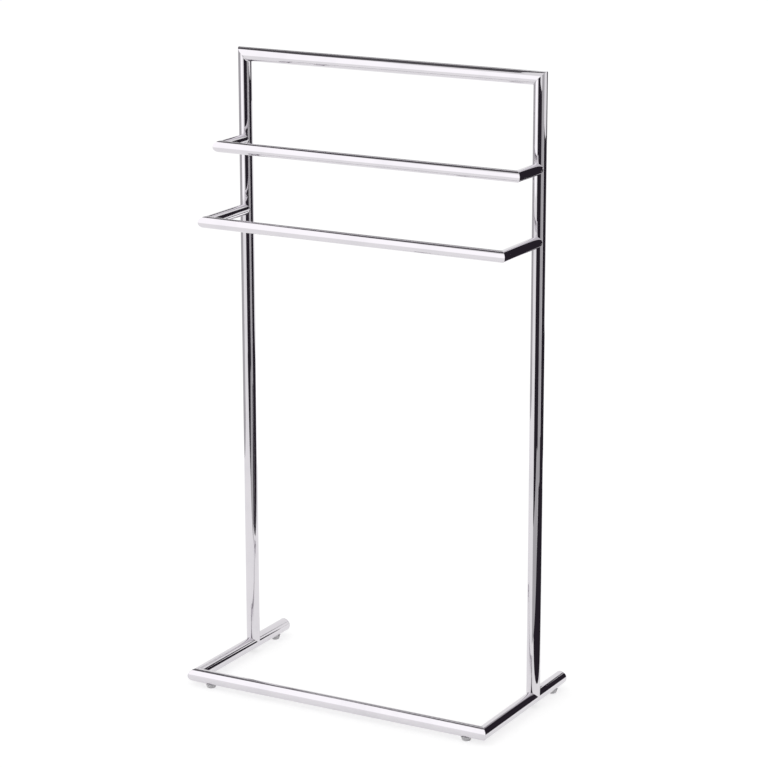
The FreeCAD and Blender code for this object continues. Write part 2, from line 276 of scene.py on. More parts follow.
def add_cylinder(name: str, radius: float, low: Vector, axis: Axis, length: float, sides: int = ROUND,
                 filled: bool = False) -> bpy.types.Object:
    """Add a cylinder primitive at its size and place.

    Args:
        name: The object's name.
        radius: Its radius.
        low: The middle of its end at the lower side of its axis.
        axis: The way it runs.
        length: Its length.
        sides: Its number of flat sides.
        filled: Whether its ends are closed.

    Returns:
        The cylinder, its place in its mesh.
    """
    bpy.ops.object.select_all(action="DESELECT")
    bpy.ops.mesh.primitive_cylinder_add(
        vertices=sides, radius=radius, depth=length, end_fill_type="NGON" if filled else "NOTHING",
        location=low + axis.vector * (length / 2), rotation=axis.turn)
    cylinder = bpy.context.active_object
    cylinder.name = name
    cylinder.data.name = name
    settle(cylinder)
    return cylinder


def press(piece: bpy.types.Object, end: PlaceTest, radius: float, centre: Vector, axis: Axis,
          **settings: object) -> None:
    """Press a flat end of a piece onto a round mandrel.

    Args:
        piece: The piece.
        end: Says of a place whether it is in that end.
        radius: The mandrel's radius.
        centre: A point on the mandrel's axis.
        axis: The way the mandrel runs.
        settings: The way that the end is pressed, as the modifier names it.
    """
    mandrel = add_cylinder("mandrel", radius, centre - axis.vector * (MANDREL_LENGTH / 2), axis,
                           MANDREL_LENGTH, sides=FINE)
    group = piece.vertex_groups.new(name="pressed")
    group.add([vertex.index for vertex in piece.data.vertices if end(vertex.co)], 1.0, "REPLACE")
    add_modifier(piece, "SHRINKWRAP", target=mandrel, wrap_method="PROJECT", vertex_group=group.name,
                 cull_face="OFF", **settings)
    piece.vertex_groups.clear()
    bpy.data.objects.remove(mandrel)


# The ends of a tube


@dataclass(frozen=True)
class Mitre:
    """A 45 degree cut through the corner of two axes."""

    corner: Vector
    waste: Vector  # points out of the tube, square to the cut

    def shape(self, tube: bpy.types.Object, wall_edge: float) -> None:
        """Cut a tube's end and close its wall there.

        Args:
            tube: The tube, long enough to pass the corner.
            wall_edge: How far from the cut a ring of edges is laid round the tube.
        """
        normal = self.waste.normalized()
        with edit_mode(tube):
            bpy.ops.mesh.select_all(action="SELECT")
            bpy.ops.mesh.bisect(plane_co=self.corner, plane_no=normal, clear_outer=True)
        lay_ring(tube, self.corner - normal * wall_edge, normal)
        bridge_rims(tube)


@dataclass(frozen=True)
class Saddle:
    """An end coped to fit a round mating tube."""

    centre: Vector  # on the mating tube's axis
    mate_axis: Axis
    mate_radius: float
    toward: Vector  # from the mating tube's axis into this tube, along one axis
    trim: float  # the least distance from the plane of the mating tube's axis

    def shape(self, tube: bpy.types.Object, wall_edge: float) -> None:
        """Press a tube's flat end onto the mating tube.

        Args:
            tube: The tube, its end flat at the trim.
            wall_edge: How far from the saddle's outer edge a ring of edges is laid round the tube.
        """
        ahead = sum(self.toward) > 0
        press(tube, in_plane(self.centre + self.toward * self.trim, self.toward), self.mate_radius,
              self.centre, self.mate_axis, use_project_x=bool(self.toward.x),
              use_project_y=bool(self.toward.y), use_project_z=bool(self.toward.z),
              use_positive_direction=ahead, use_negative_direction=not ahead)
        lay_ring(tube, self.centre + self.toward * (self.mate_radius + wall_edge), self.toward)


@dataclass(frozen=True)
class Square:
    """An end cut square."""

    place: Vector
    toward: Vector  # into the tube

    def shape(self, tube: bpy.types.Object, wall_edge: float) -> None:
        """Lay a ring of edges round the tube near its end, which is square already."""
        lay_ring(tube, self.place + self.toward * wall_edge, self.toward)


@dataclass(frozen=True)
class TubeSizes:
    """A round tube's radius and wall."""

    radius: float
    wall: float


@dataclass
class Tube:
    """A length of round tube with a cut at each end."""

    name: str
    axis: Axis
    low: Vector  # middle of the blank's lower end
    length: float
    size: TubeSizes
    ends: tuple[Mitre | Saddle | Square, ...]
    bores: Bores = ()
    wall_edge: float = 0.0015
    broken_edge: float = 0.00012
    broken_steps: int = 2
    drill_sides: int = 64
    drill_length: float = 2.0  # in radii of the tube

    def build(self) -> bpy.types.Object:
        """Saw, bore, cut and break the edges of the tube.

        Returns:
            The finished tube.
        """
        tube = add_cylinder(self.name, self.size.radius, self.low, self.axis, self.length)
        add_modifier(tube, "SOLIDIFY", thickness=self.size.wall, offset=-1.0, use_even_offset=True)
        for end in self.ends:
            end.shape(tube, self.wall_edge)
        for place, radius in self.bores:
            self.bore(tube, place, radius)
        bevel_edges(tube, self.is_outer_rim, self.broken_edge, self.broken_steps)
        face_out(tube)
        smooth(tube)
        return tube

    def bore(self, tube: bpy.types.Object, place: Vector, radius: float) -> None:
        """Drill a hole up through the tube's lower wall.

        Args:
            tube: The tube.
            place: The point below the tube where the drill starts.
            radius: The hole's radius.
        """
        for way in (-1, 1):
            lay_ring(tube, place + self.axis.vector * (way * (radius + self.wall_edge)), self.axis.vector)
        drill = add_cylinder("drill", radius, place, Axis.Z, self.size.radius * self.drill_length,
                             sides=self.drill_sides, filled=True)
        add_modifier(tube, "BOOLEAN", object=drill, operation="DIFFERENCE", solver="EXACT")
        bpy.data.objects.remove(drill)

    def is_outer_rim(self, edge: bmesh.types.BMEdge) -> bool:
        """Say whether an edge runs round the outside of an end's cut."""
        on_side = on_cylinder(self.low, self.axis, self.size.radius)
        return len(edge.link_faces) == 2 and whole(edge, on_side) and edge.calc_face_angle(0.0) > SHARP


# Materials


@dataclass(frozen=True)
class Pattern:
    """A noise pattern and the values it is turned into."""

    scale: float  # grains in a metre
    start: float  # the noise that gives the low value
    end: float  # the noise that gives the high value
    low: float = 0.0
    high: float = 1.0
    detail: float = 2.0
    roughness: float = 0.5


class Sheet:
    """A node tree that is filled from left to right."""

    def __init__(self, tree: bpy.types.NodeTree) -> None:
        """Start an empty tree."""
        self.tree = tree
        tree.nodes.clear()

    def add(self, kind: str, inputs: dict[str | int, object] | None = None,
            **settings: object) -> bpy.types.Node:
        """Add a node.

        Args:
            kind: The node's type.
            inputs: What its inputs get, each a value or the output to join to it.
            settings: The node's properties.

        Returns:
            The node.
        """
        node = self.tree.nodes.new(kind)
        for name, value in settings.items():
            setattr(node, name, value)
        for name, value in (inputs or {}).items():
            if isinstance(value, bpy.types.NodeSocket):
                self.tree.links.new(value, node.inputs[name])
            else:
                node.inputs[name].default_value = value
        return node

    def math(self, operation: str, first: Socket | float, second: Socket | float,
             clamp: bool = False) -> Socket:
        """Add a math node.

        Args:
            operation: The node's operation.
            first: The first value.
            second: The second value.
            clamp: Whether the result is held between 0 and 1.

        Returns:
            The result.
        """
        inputs = {0: first, 1: second}
        return self.add("ShaderNodeMath", inputs, operation=operation, use_clamp=clamp).outputs["Value"]

    def noise(self, place: Socket, scale: Socket | float, detail: float = 2.0,
              roughness: float = 0.5) -> Socket:
        """Add a noise pattern over a place.

        Args:
            place: The place.
            scale: The grains in a metre.
            detail: How many finer layers the noise has.
            roughness: How strong the finer layers are.

        Returns:
            The noise.
        """
        inputs = {"Vector": place, "Scale": scale, "Detail": detail, "Roughness": roughness}
        return self.add("ShaderNodeTexNoise", inputs).outputs["Fac"]

    def band(self, value: Socket, start: float, end: float, low: float, high: float) -> Socket:
        """Map a value's range to another range, held at its ends.

        Args:
            value: The value.
            start: The value that gives the low result.
            end: The value that gives the high result.
            low: The low result.
            high: The high result.

        Returns:
            The result.
        """
        inputs = {"Value": value, "From Min": start, "From Max": end, "To Min": low, "To Max": high}
        return self.add("ShaderNodeMapRange", inputs, clamp=True).outputs["Result"]

    def pattern(self, place: Socket, pattern: Pattern) -> Socket:
        """Add a noise pattern and turn it into its values.

        Args:
            place: The place.
            pattern: The pattern.

        Returns:
            The values.
        """
        noise = self.noise(place, pattern.scale, pattern.detail, pattern.roughness)
        return self.band(noise, pattern.start, pattern.end, pattern.low, pattern.high)

    def blend(self, share: Socket, first: Colour, second: Colour) -> Socket:
        """Blend two colours.

        Args:
            share: The second colour's share.
            first: The first colour.
            second: The second colour.

        Returns:
            The colour.
        """
        inputs = {"Factor": share, "A": (*first, 1.0), "B": (*second, 1.0)}
        return self.add("ShaderNodeMix", inputs, data_type="RGBA").outputs["Result"]

    def bump(self, height: Socket, strength: float, depth: float) -> Socket:
        """Turn heights into a bumpy surface.

        Args:
            height: The heights, between 0 and 1.
            strength: How much the bumps count.
            depth: The metres that a height of 1 stands for.

        Returns:
            The surface's normal.
        """
        inputs = {"Strength": strength, "Distance": depth, "Height": height}
        return self.add("ShaderNodeBump", inputs).outputs["Normal"]

    def put_out(self, shader: Socket, kind: str = "ShaderNodeOutputMaterial") -> None:
        """Join a shader to the tree's output node."""
        self.add(kind, {"Surface": shader})


def start_material(name: str) -> tuple[bpy.types.Material, Sheet]:
    """Start a material with no nodes.

    Args:
        name: The material's name.

    Returns:
        The material and its sheet.
    """
    material = bpy.data.materials.new(name)
    material.use_nodes = True
    return material, Sheet(material.node_tree)


def start_group(name: str, inputs: dict[str, float], outputs: tuple[str, ...]) -> tuple[Sheet, bpy.types.Node]:
    """Start a node group that takes a place and numbers and puts out masks.

    Args:
        name: The group's name.
        inputs: The numbers it takes, with their usual values.
        outputs: The masks it puts out.

    Returns:
        The group's sheet and its input node.
    """
    tree = bpy.data.node_groups.new(name, "ShaderNodeTree")
    tree.interface.new_socket(name="Place", in_out="INPUT", socket_type="NodeSocketVector")
    for label, value in inputs.items():
        socket = tree.interface.new_socket(name=label, in_out="INPUT", socket_type="NodeSocketFloat")
        socket.default_value = value
    for label in outputs:
        tree.interface.new_socket(name=label, in_out="OUTPUT", socket_type="NodeSocketFloat")
    sheet = Sheet(tree)
    return sheet, sheet.add("NodeGroupInput")


@dataclass
class WearGroups:
    """The effects that several finishes share, each built once as a node group."""

    scratches: bpy.types.NodeTree = field(init=False)
    smudges: bpy.types.NodeTree = field(init=False)
    scratch_scale: float = 900.0
    scratch_detail: float = 1.0
    scratch_crest: float = 0.5  # the noise along the middle of a scratch
    scratch_width: float = 0.012  # how far the noise is from it at the scratch's edge
    patches: Pattern = Pattern(45.0, 0.52, 0.68)
    broad: Pattern = Pattern(22.0, 0.48, 0.74, detail=3.0)
    fine: Pattern = Pattern(260.0, 0.3, 0.7, low=0.5, detail=4.0, roughness=0.6)
    drop_scale: float = 160.0
    drop_inside: float = 0.10  # a drop is whole this near its middle, in cells
    drop_outside: float = 0.16  # and has faded out this far from it

    def __post_init__(self) -> None:
        """Build the groups."""
        self.scratches = self.build_scratches()
        self.smudges = self.build_smudges()

    def build_scratches(self) -> bpy.types.NodeTree:
        """Build hairline scratches: thin crests of a stretched noise, gathered in patches.

        Returns:
            The group.
        """
        sheet, source = start_group("hairline_scratches", {"Scale": self.scratch_scale}, ("Mask",))
        place = source.outputs["Place"]
        lines = sheet.noise(place, source.outputs["Scale"], self.scratch_detail)
        crest = sheet.math("ABSOLUTE", sheet.math("SUBTRACT", lines, self.scratch_crest), 0.0)
        thin = sheet.band(crest, 0.0, self.scratch_width, 1.0, 0.0)
        sheet.add("NodeGroupOutput", {"Mask": sheet.math("MULTIPLY", thin, sheet.pattern(place, self.patches))})
        return sheet.tree

    def build_smudges(self) -> bpy.types.NodeTree:
        """Build faint smudges left by hands, and spots left by drying water.

        Returns:
            The group.
        """
        sheet, source = start_group("smudges", {}, ("Mask", "Spots"))
        place = source.outputs["Place"]
        broad = sheet.pattern(place, self.broad)
        drops = sheet.add("ShaderNodeTexVoronoi", {"Vector": place, "Scale": self.drop_scale}, feature="F1")
        spot = sheet.band(drops.outputs["Distance"], self.drop_inside, self.drop_outside, 1.0, 0.0)
        sheet.add("NodeGroupOutput", {"Mask": sheet.math("MULTIPLY", broad, sheet.pattern(place, self.fine)),
                                      "Spots": sheet.math("MULTIPLY", spot, broad)})
        return sheet.tree


@dataclass(frozen=True)
class ChromeFinish:
    """Bright decorative chrome over nickel, polished along the tube."""

    name: str
    grain: Axis
    tint: Colour = (0.69, 0.668, 0.70)
    dulled: Colour = (0.64, 0.622, 0.655)
    roughness: float = 0.03
    smudge_roughness: float = 0.05
    ripple_scale: float = 420.0
    ripple_strength: float = 0.12
    ripple_depth: float = 0.00002  # of the polish's orange peel
    stretch: float = 14.0  # how many times longer than wide the grain is

    def build(self, groups: WearGroups) -> bpy.types.Material:
        """Make the material.

        Args:
            groups: The shared effects.

        Returns:
            The material.
        """
        material, sheet = start_material(self.name)
        place = sheet.add("ShaderNodeTexCoord").outputs["Object"]
        long_way = [1.0, 1.0, 1.0]
        long_way[self.grain.value] = 1.0 / self.stretch
        along = sheet.add("ShaderNodeMapping", {"Vector": place, "Scale": long_way}).outputs["Vector"]
        scratches = sheet.add("ShaderNodeGroup", {"Place": along}, node_tree=groups.scratches)
        smudges = sheet.add("ShaderNodeGroup", {"Place": place}, node_tree=groups.smudges)
        worn = sheet.math("MAXIMUM", scratches.outputs["Mask"], smudges.outputs["Mask"])
        rough = sheet.band(worn, 0.0, 1.0, self.roughness, self.smudge_roughness)
        spots = sheet.band(smudges.outputs["Spots"], 0.0, 1.0, 0.0, self.smudge_roughness)
        ripple = sheet.noise(along, self.ripple_scale)
        shader = sheet.add("ShaderNodeBsdfPrincipled", {
            "Metallic": 1.0,
            "Base Color": sheet.blend(worn, self.tint, self.dulled),
            "Roughness": sheet.math("ADD", rough, spots),
            "Normal": sheet.bump(ripple, self.ripple_strength, self.ripple_depth),
        })
        sheet.put_out(shader.outputs["BSDF"])
        return material


@dataclass(frozen=True)
class RubberFinish:
    """Soft clear rubber that has taken a little dust."""

    name: str
    clear: Colour = (0.97, 0.96, 0.975)
    dusty: Colour = (0.90, 0.89, 0.91)
    clean_roughness: float = 0.5
    dusty_roughness: float = 0.7
    ior: float = 1.4
    transmission: float = 0.3
    dust_height: float = 0.0035  # above the floor, where its dust has faded out
    floor_dust: float = 0.75
    cloud: Pattern = Pattern(700.0, 0.35, 0.7, high=0.4, detail=3.0)
    grain_scale: float = 2600.0
    grain_strength: float = 0.1
    grain_depth: float = 0.00008

    def build(self, groups: WearGroups) -> bpy.types.Material:
        """Make the material.

        Args:
            groups: The shared effects.

        Returns:
            The material.
        """
        material, sheet = start_material(self.name)
        place = sheet.add("ShaderNodeTexCoord").outputs["Object"]
        smudges = sheet.add("ShaderNodeGroup", {"Place": place}, node_tree=groups.smudges)
        height = sheet.add("ShaderNodeSeparateXYZ", {"Vector": place}).outputs["Z"]
        low = sheet.band(height, 0.0, self.dust_height, self.floor_dust, 0.0)
        dust = sheet.math("ADD", low, sheet.pattern(place, self.cloud))
        dust = sheet.math("ADD", dust, smudges.outputs["Mask"], clamp=True)
        grain = sheet.noise(place, self.grain_scale)
        shader = sheet.add("ShaderNodeBsdfPrincipled", {
            "IOR": self.ior,
            "Transmission Weight": self.transmission,
            "Base Color": sheet.blend(dust, self.clear, self.dusty),
            "Roughness": sheet.band(dust, 0.0, 1.0, self.clean_roughness, self.dusty_roughness),
            "Normal": sheet.bump(grain, self.grain_strength, self.grain_depth),
        })
        sheet.put_out(shader.outputs["BSDF"])
        return material


@dataclass(frozen=True)
class ZincFinish:
    """Zinc plate on small turned steel parts."""

    name: str
    bright: Colour = (0.70, 0.71, 0.73)
    dull: Colour = (0.48, 0.49, 0.51)
    bright_roughness: float = 0.26
    dull_roughness: float = 0.44
    scratch_scale: float = 2600.0
    crystals: Pattern = Pattern(1500.0, 0.35, 0.65, detail=4.0, roughness=0.6)

    def build(self, groups: WearGroups) -> bpy.types.Material:
        """Make the material.

        Args:
            groups: The shared effects.

        Returns:
            The material.
        """
        material, sheet = start_material(self.name)
        place = sheet.add("ShaderNodeTexCoord").outputs["Object"]
        scratches = sheet.add("ShaderNodeGroup", {"Place": place, "Scale": self.scratch_scale},
                              node_tree=groups.scratches)
        worn = sheet.math("MAXIMUM", sheet.pattern(place, self.crystals), scratches.outputs["Mask"])
        shader = sheet.add("ShaderNodeBsdfPrincipled", {
            "Metallic": 1.0,
            "Base Color": sheet.blend(worn, self.bright, self.dull),
            "Roughness": sheet.band(worn, 0.0, 1.0, self.bright_roughness, self.dull_roughness),
        })
        sheet.put_out(shader.outputs["BSDF"])
        return material


@dataclass
class Finishes:
    """All the finishes of the stand, built once."""

    groups: WearGroups = field(default_factory=WearGroups)
    made: dict[str, bpy.types.Material] = field(default_factory=dict)

    def of(self, finish: ChromeFinish | RubberFinish | ZincFinish) -> bpy.types.Material:
        """Build a finish the first time it is asked for.

        Args:
            finish: The finish.

        Returns:
            Its material.
        """
        if finish.name not in self.made:
            self.made[finish.name] = finish.build(self.groups)
        return self.made[finish.name]

    def chrome(self, grain: Axis) -> bpy.types.Material:
        """Give the chrome that is polished along an axis."""
        return self.of(ChromeFinish(f"bright_chrome_{grain.name.lower()}", grain))


def dress(piece: bpy.types.Object, material: bpy.types.Material) -> None:
    """Give a piece one material all over."""
    piece.data.materials.clear()
    piece.data.materials.append(material)


def hand_in(piece: bpy.types.Object, node: str) -> None:
    """Let a finished piece ride on the stand in place of a CAD node, and report it.

    Args:
        piece: The piece.
        node: The CAD node that it replaces.
    """
    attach(piece, BODY)
    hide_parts(node)
    LOG.info("%s stands for %s: %d faces", piece.name, node, len(piece.data.polygons))


# The stand


@dataclass
class Layout:
    """Places of the tube axes, read from the boxes of the CAD nodes."""

    post: TubeSizes = field(init=False)
    rail: TubeSizes = field(init=False)
    base: TubeSizes = field(init=False)
    half_width: float = field(init=False)
    post_plane: float = field(init=False)
    top: float = field(init=False)
    floor_axis: float = field(init=False)
    base_plane: float = field(init=False)
    cap_seat: float = field(init=False)
    rails: dict[str, tuple[float, float]] = field(init=False)
    post_wall: float = 0.0012
    rail_wall: float = 0.0010
    base_wall: float = 0.0012
    cope_trim: float = 0.001

    def __post_init__(self) -> None:
        """Read the boxes."""
        low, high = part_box("top_bar")
        self.post = TubeSizes((high.z - low.z) / 2, self.post_wall)
        self.top = (high.z + low.z) / 2
        self.post_plane = (high.y + low.y) / 2
        self.half_width = (high.x - low.x) / 2 - self.post.radius
        low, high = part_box("base_front_bar")
        self.base = TubeSizes((high.z - low.z) / 2, self.base_wall)
        self.floor_axis = (high.z + low.z) / 2
        self.base_plane = (high.y + low.y) / 2
        self.cap_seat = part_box("base_runner_right")[1].y
        self.rails = {}
        for rail in ("upper", "lower"):
            low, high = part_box(f"{rail}_rail_bar")
            self.rail = TubeSizes((high.z - low.z) / 2, self.rail_wall)
            self.rails[rail] = ((high.y + low.y) / 2, (high.z + low.z) / 2)

    def right(self, y: float, z: float) -> Vector:
        """Give a point in the plane of the right post and runner."""
        return Vector((self.half_width, y, z))


@dataclass(frozen=True)
class Bow:
    """A bar and two legs of one size of tube, mitred at both corners."""

    size: TubeSizes
    corner: Vector  # where the axes of the bar and the right leg meet
    way: Vector  # from the bar along the legs
    leg_axis: Axis
    finishes: Finishes

    def build_bar(self, name: str, node: str, bores: Bores = ()) -> None:
        """Build the bar and hand it in.

        Args:
            name: The piece's name.
            node: The CAD node that it replaces.
            bores: Holes through its lower wall.
        """
        across = Axis.X.vector
        far_corner = Vector((-self.corner.x, self.corner.y, self.corner.z))
        overhang = OVERHANG * self.size.radius
        bar = Tube(name, Axis.X, far_corner - across * overhang, 2 * (self.corner.x + overhang), self.size,
                   (Mitre(far_corner, self.way - across), Mitre(self.corner, self.way + across)), bores).build()
        dress(bar, self.finishes.chrome(Axis.X))
        hand_in(bar, node)

    def build_legs(self, name: str, node: str, tip: Vector, end: Saddle | Square, bores: Bores = ()) -> None:
        """Build the right leg, mirror it to the left and hand both in.

        Args:
            name: What the names of both pieces start with.
            node: What the names of both CAD nodes start with.
            tip: The middle of the right leg's far end.
            end: How that end is shaped.
            bores: Holes through the right leg's lower wall.
        """
        start = self.corner - self.way * (OVERHANG * self.size.radius)
        low = min(start, tip, key=lambda place: place[self.leg_axis.value])
        right = Tube(f"{name}_right", self.leg_axis, low, (tip - start).length, self.size,
                     (Mitre(self.corner, -self.way - Axis.X.vector), end), bores).build()
        dress(right, self.finishes.chrome(self.leg_axis))
        left = copy_piece(right, f"{name}_left", mirror=True)
        hand_in(right, f"{node}_right")
        hand_in(left, f"{node}_left")


@dataclass
class Frame:
    """The upright frame: two posts and the top bar, mitred at the top corners."""

    layout: Layout
    finishes: Finishes

    def build(self) -> None:
        """Build the top bar and both posts."""
        place = self.layout
        up = Axis.Z.vector
        bow = Bow(place.post, place.right(place.post_plane, place.top), -up, Axis.Z, self.finishes)
        bow.build_bar("top_bar_tube", "top_bar")
        foot = place.right(place.post_plane, place.floor_axis)
        saddle = Saddle(foot, Axis.Y, place.base.radius, up, place.cope_trim)
        bow.build_legs("post_tube", "post", foot + up * place.cope_trim, saddle)


@dataclass
class Rail:
    """A towel rail: a bar carried in front of the posts by two arms."""

    name: str
    layout: Layout
    finishes: Finishes

    def build(self) -> None:
        """Build the bar and both arms."""
        place = self.layout
        y, z = place.rails[self.name]
        back = Axis.Y.vector
        bow = Bow(place.rail, place.right(y, z), back, Axis.Y, self.finishes)
        bow.build_bar(f"{self.name}_rail_tube", f"{self.name}_rail_bar")
        joint = place.right(place.post_plane, z)
        saddle = Saddle(joint, Axis.Z, place.post.radius, -back, 0.0)
        bow.build_legs(f"{self.name}_arm_tube", f"{self.name}_rail_arm", joint, saddle)


@dataclass
class Base:
    """The U-shaped base: a front bar, two runners and the caps that close them."""

    layout: Layout
    finishes: Finishes
    access_hole: float = 0.006
    foot_hole: float = 0.00148
    drill_drop: float = 0.5  # how far below the floor a drill starts, in radii of the tube
    cap_edge: float = 0.0008
    cap_ring: float = 0.5  # how far in from the rim the ring on the cap's head lies, in radii
    cap_stem: float = 0.010
    cap_wall: float = 0.0012
    press_clearance: float = 0.00005

    def build(self) -> None:
        """Build the front bar, the runners and the caps."""
        place = self.layout
        back = Axis.Y.vector
        bow = Bow(place.base, place.right(place.base_plane, place.floor_axis), back, Axis.Y, self.finishes)
        starts = [self.under_foot(f"foot_front_{side}") for side in ("left", "right")]
        bow.build_bar("base_bar_tube", "base_front_bar", tuple((start, self.foot_hole) for start in starts))
        rear = place.right(place.cap_seat, place.floor_axis)
        bores = ((self.under(place.half_width, place.post_plane), self.access_hole),
                 (self.under_foot("foot_rear_right"), self.foot_hole))
        bow.build_legs("runner_tube", "base_runner", rear, Square(rear, -back), bores)
        right = self.build_cap("end_cap_right", rear)
        dress(right, self.finishes.chrome(Axis.Z))
        left = copy_piece(right, "end_cap_left", move=Axis.X.vector * (-2 * place.half_width))
        hand_in(right, "runner_end_cap_right")
        hand_in(left, "runner_end_cap_left")

    def under(self, x: float, y: float) -> Vector:
        """Give the point below the base where a drill starts."""
        return Vector((x, y, -self.drill_drop * self.layout.base.radius))

    def under_foot(self, node: str) -> Vector:
        """Give the point where the drill for a foot's screw starts."""
        low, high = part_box(node)
        return self.under((low.x + high.x) / 2, (low.y + high.y) / 2)

    def build_cap(self, name: str, seat: Vector) -> bpy.types.Object:
        """Turn a cap: a flat head with a rounded rim and a ring inset on its face, and a hollow stem that is
        pressed into the runner.

        Args:
            name: The piece's name.
            seat: The middle of the runner's end.

        Returns:
            The cap.
        """
        tube = self.layout.base
        back = Axis.Y.vector
        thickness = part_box("runner_end_cap_right")[1].y - seat.y
        cap = add_cylinder(name, tube.radius, seat, Axis.Y, thickness, filled=True)
        stem_radius = tube.radius - tube.wall - self.press_clearance
        at_seat = in_plane(seat, back)
        at_back = in_plane(seat + back * thickness, back)
        on_rim = on_cylinder(seat, Axis.Y, tube.radius)
        with edit_mode(cap, "FACE"):
            pick(cap, "faces", lambda face: whole(face, at_seat))
            bpy.ops.mesh.inset(thickness=tube.radius - stem_radius)
            bpy.ops.mesh.extrude_region_move(TRANSFORM_OT_translate={"value": (0, -self.cap_stem, 0)})
            bpy.ops.mesh.inset(thickness=self.cap_wall)
            bpy.ops.mesh.extrude_region_move(TRANSFORM_OT_translate={"value": (0, self.cap_stem, 0)})
            pick(cap, "faces", lambda face: whole(face, at_back))
            bpy.ops.mesh.inset(thickness=tube.radius * self.cap_ring)
        bevel_edges(cap, lambda edge: whole(edge, at_back) and whole(edge, on_rim), self.cap_edge, EDGE_STEPS)
        face_out(cap)
        smooth(cap)
        return cap


@dataclass
class Feet:
    """Four small cone-shaped feet, each with a groove that fits its tube."""

    layout: Layout
    finishes: Finishes
    sides: int = 64
    top_radius: float = 0.0075
    bottom_radius: float = 0.0055
    edge: float = 0.0012
    saddle_rise: float = 0.0015
    press_reach: float = 1.1  # how far the groove is pressed at most, in rises
    recess_radius: float = 0.0031
    recess_depth: float = 0.0028
    hole_radius: float = 0.00155
    rings: int = 9

    def build(self) -> None:
        """Mould one foot and copy it to the four corners."""
        foot = self.mould()
        dress(foot, self.finishes.of(RubberFinish("clear_rubber")))
        for end, turn in (("front", 0.0), ("rear", math.pi / 2)):
            for side in ("left", "right"):
                node = f"foot_{end}_{side}"
                low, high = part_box(node)
                centre = Vector(((low.x + high.x) / 2, (low.y + high.y) / 2, 0))
                copy = copy_piece(foot, f"rubber_{node}", move=centre, turn=turn)
                smooth(copy)
                hand_in(copy, node)
        bpy.data.objects.remove(foot)

    def mould(self) -> bpy.types.Object:
        """Shape a foot at the origin, its groove along X.

        Returns:
            The foot.
        """
        tube = self.layout.base
        up = Axis.Z.vector
        height = self.layout.floor_axis - tube.radius + self.saddle_rise
        bpy.ops.object.select_all(action="DESELECT")
        bpy.ops.mesh.primitive_cone_add(
            vertices=self.sides, radius1=self.bottom_radius, radius2=self.top_radius, depth=height,
            end_fill_type="NGON", location=up * (height / 2))
        foot = bpy.context.active_object
        foot.name = "foot_pattern"
        settle(foot)
        at_floor = in_plane(Vector(), up)
        at_top = in_plane(up * height, up)
        on_rim = on_cylinder(Vector(), Axis.Z, self.bottom_radius)
        with edit_mode(foot, "FACE"):
            pick(foot, "faces", lambda face: whole(face, at_top))
            for _ in range(self.rings):
                bpy.ops.mesh.inset(thickness=(self.top_radius - self.hole_radius) / self.rings)
            bpy.ops.mesh.delete(type="FACE")
            pick(foot, "faces", lambda face: whole(face, at_floor))
            bpy.ops.mesh.inset(thickness=self.bottom_radius - self.recess_radius)
            bpy.ops.mesh.extrude_region_move(TRANSFORM_OT_translate={"value": (0, 0, self.recess_depth)})
            bpy.ops.mesh.inset(thickness=self.recess_radius - self.hole_radius)
            bpy.ops.mesh.delete(type="FACE")
        bridge_rims(foot)
        press(foot, at_top, tube.radius, up * self.layout.floor_axis, Axis.X, use_project_z=True,
              use_positive_direction=False, use_negative_direction=True,
              project_limit=self.saddle_rise * self.press_reach)
        bevel_edges(foot, lambda edge: whole(edge, at_floor) and whole(edge, on_rim), self.edge, EDGE_STEPS)
        face_out(foot)
        return foot


@dataclass
class Fasteners:
    """The hidden screws, washers and plugs, which keep their CAD nodes."""

    finishes: Finishes
    kinds: tuple[str, ...] = ("foot_screw", "base_screw", "saddle_washer", "post_plug")

    def build(self) -> None:
        """Give each fastener its finish."""
        material = self.finishes.of(ZincFinish("zinc_plate"))
        for name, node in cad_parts.items():
            if name.startswith(self.kinds):
                dress(node, material)
                LOG.info("%s keeps its CAD node", name)


# The studio


@dataclass(frozen=True)
class Camera:
    """The camera, at the photograph's viewing angle."""

    place: Vector = Vector((1.8467, -3.2848, 1.4521))
    yaw: float = -0.5088
    pitch: float = 0.2629
    roll: float = 0.0018
    lens: float = 134.6
    sensor: float = 36.0
    far: float = 100.0

    def build(self) -> None:
        """Add the camera and make it the scene's."""
        data = bpy.data.cameras.new("photo_camera")
        data.lens = self.lens
        data.sensor_width = self.sensor
        data.clip_end = self.far
        camera = bpy.data.objects.new("photo_camera", data)
        bpy.context.scene.collection.objects.link(camera)
        camera.location = self.place
        camera.rotation_mode = "XYZ"
        camera.rotation_euler = (math.pi / 2 - self.pitch, self.roll, -self.yaw)
        bpy.context.scene.camera = camera


@dataclass(frozen=True)
class Lamp:
    """One large soft lamp overhead, which the metal doesn't show."""

    place: Vector = Vector((-0.6, -1.2, 3.2))
    tilt: float = 18.0  # degrees about X, which aim it at the back
    lean: float = -8.0  # degrees about Y, which aim it at the right
    width: float = 2.6
    depth: float = 2.2
    power: float = 6.0

    def build(self) -> None:
        """Hang the lamp."""
        data = bpy.data.lights.new("overhead_lamp", "AREA")
        data.shape = "RECTANGLE"
        data.size = self.width
        data.size_y = self.depth
        data.energy = self.power
        lamp = bpy.data.objects.new("overhead_lamp", data)
        lamp.location = self.place
        lamp.rotation_euler = (math.radians(self.tilt), math.radians(self.lean), 0.0)
        lamp.visible_glossy = False
        bpy.context.scene.collection.objects.link(lamp)


class Tone(Enum):
    """How bright a board's painted reflection looks in the metal, where 1 is white."""

    # BRIGHT paints highlights into the metal; BLACK, SHADE and GREY paint its dark and grey reflections.
    BLACK = 0.02
    SHADE = 0.1
    GREY = 0.5
    BRIGHT = 1.4


@dataclass(frozen=True)
class Pose:
    """Where a board is, how it is turned and how large it is."""

    middle: Vector
    turn: Turn
    size: Vector


